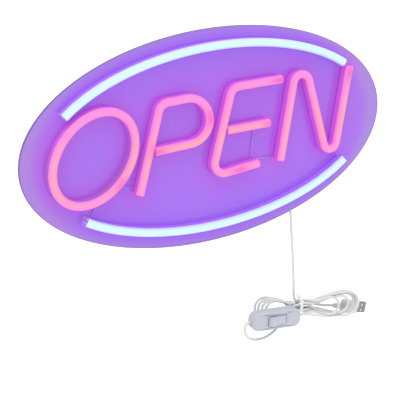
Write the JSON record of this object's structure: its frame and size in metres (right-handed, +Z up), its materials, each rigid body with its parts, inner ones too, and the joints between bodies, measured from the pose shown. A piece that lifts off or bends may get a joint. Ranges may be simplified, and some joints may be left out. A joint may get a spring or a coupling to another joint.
{
  "type": "oval LED neon sign",
  "caption": "Oval wall sign: glowing silicone tubes spell OPEN between two curved tubes on a violet-lit acrylic plate, with a tied USB lead and an inline rocker switch.",
  "frame": {"origin": "centre of the plate's back face, which goes against the wall", "axes": "+X to the reader's right along the plate, +Z up, +Y into the wall, so the lit front faces -Y"},
  "size_m": [0.4, 0.0398, 0.3528],
  "materials": {
    "acrylic_violet": "clear acrylic lit violet by the tubes",
    "silicone_white": "milky silicone, lit from inside",
    "silicone_pink": "milky pink silicone, lit from inside",
    "flex_circuit": "white solder mask",
    "white_led": "moulded LED package, lit",
    "pink_led": "moulded LED package, lit",
    "chip_resistor": "black chip body",
    "cap_clear": "clear silicone end cap",
    "cap_pink": "clear pink silicone end cap",
    "jumper_wire": "thin clear-insulated twin wire",
    "core_red": "red insulated core",
    "core_black": "black insulated core",
    "clip_clear": "clear moulded clip",
    "cord_white": "soft white PVC",
    "tie_white": "paper-white twist tie",
    "case_white": "cool white moulded plastic",
    "rocker_white": "cool white moulded plastic",
    "nylon": "natural nylon",
    "spring_steel": "drawn wire",
    "contact_brass": "stamped strip",
    "screw_steel": "zinc plated",
    "plug_white": "soft white overmould",
    "shell_steel": "folded steel",
    "tongue_white": "moulded insulator",
    "contact_gold": "gilt contacts"
  },
  "bodies": {
    "sign": {"back_plate": "acrylic_violet", "top_arc_tube": "silicone_white", "bottom_arc_tube": "silicone_white", "letter_o_tube": "silicone_pink", "letter_p_tube": "silicone_pink", "letter_e_tube": "silicone_pink", "letter_e_bar_tube": "silicone_pink", "letter_n_tube": "silicone_pink", "top_arc_strip": "flex_circuit", "bottom_arc_strip": "flex_circuit", "letter_o_strip": "flex_circuit", "letter_p_strip": "flex_circuit", "letter_e_strip": "flex_circuit", "letter_e_bar_strip": "flex_circuit", "letter_n_strip": "flex_circuit", "white_led_chips": "white_led", "pink_led_chips": "pink_led", "strip_resistors": "chip_resistor", "arc_end_caps": "cap_clear", "letter_end_caps": "cap_pink", "jumper_arc_o": "jumper_wire", "jumper_o_p": "jumper_wire", "jumper_p_e": "jumper_wire", "jumper_e_bar": "jumper_wire", "jumper_e_n": "jumper_wire", "jumper_n_arc": "jumper_wire", "feed_wires": "core_red", "lead_clip": "clip_clear", "lead_cord": "cord_white", "cord_hank": "cord_white", "cord_tie": "tie_white", "switch_cord": "cord_white", "loop_cord": "cord_white", "plug_cord": "cord_white", "switch_base": "case_white", "switch_cover": "case_white", "centre_terminal": "contact_brass", "end_terminal": "contact_brass", "through_wire": "core_red", "terminal_wires": "core_black", "case_screws": "screw_steel", "plug_overmould": "plug_white", "plug_shell": "shell_steel", "plug_tongue": "tongue_white", "plug_contacts": "contact_gold"},
    "rocker": {"switch_rocker": "rocker_white", "rocker_plunger": "nylon", "rocker_spring": "spring_steel"},
    "seesaw": {"contact_seesaw": "contact_brass"}
  },
  "joints": [
    {"name": "rocker_swing", "type": "hinge", "parent": "sign", "child": "rocker", "pos_m": [0.0412, -0.0262, -0.2044], "axis": [-0.1547, 0, -0.988], "range_deg": [0, 24]},
    {"name": "seesaw_swing", "type": "hinge", "parent": "sign", "child": "seesaw", "pos_m": [0.0412, -0.0202, -0.2044], "axis": [-0.1547, 0, -0.988], "range_deg": [-12, 0]}
  ],
  "couplings": [
    {"joint": "seesaw_swing", "follows": "rocker_swing", "ratio": -0.5}
  ]
}
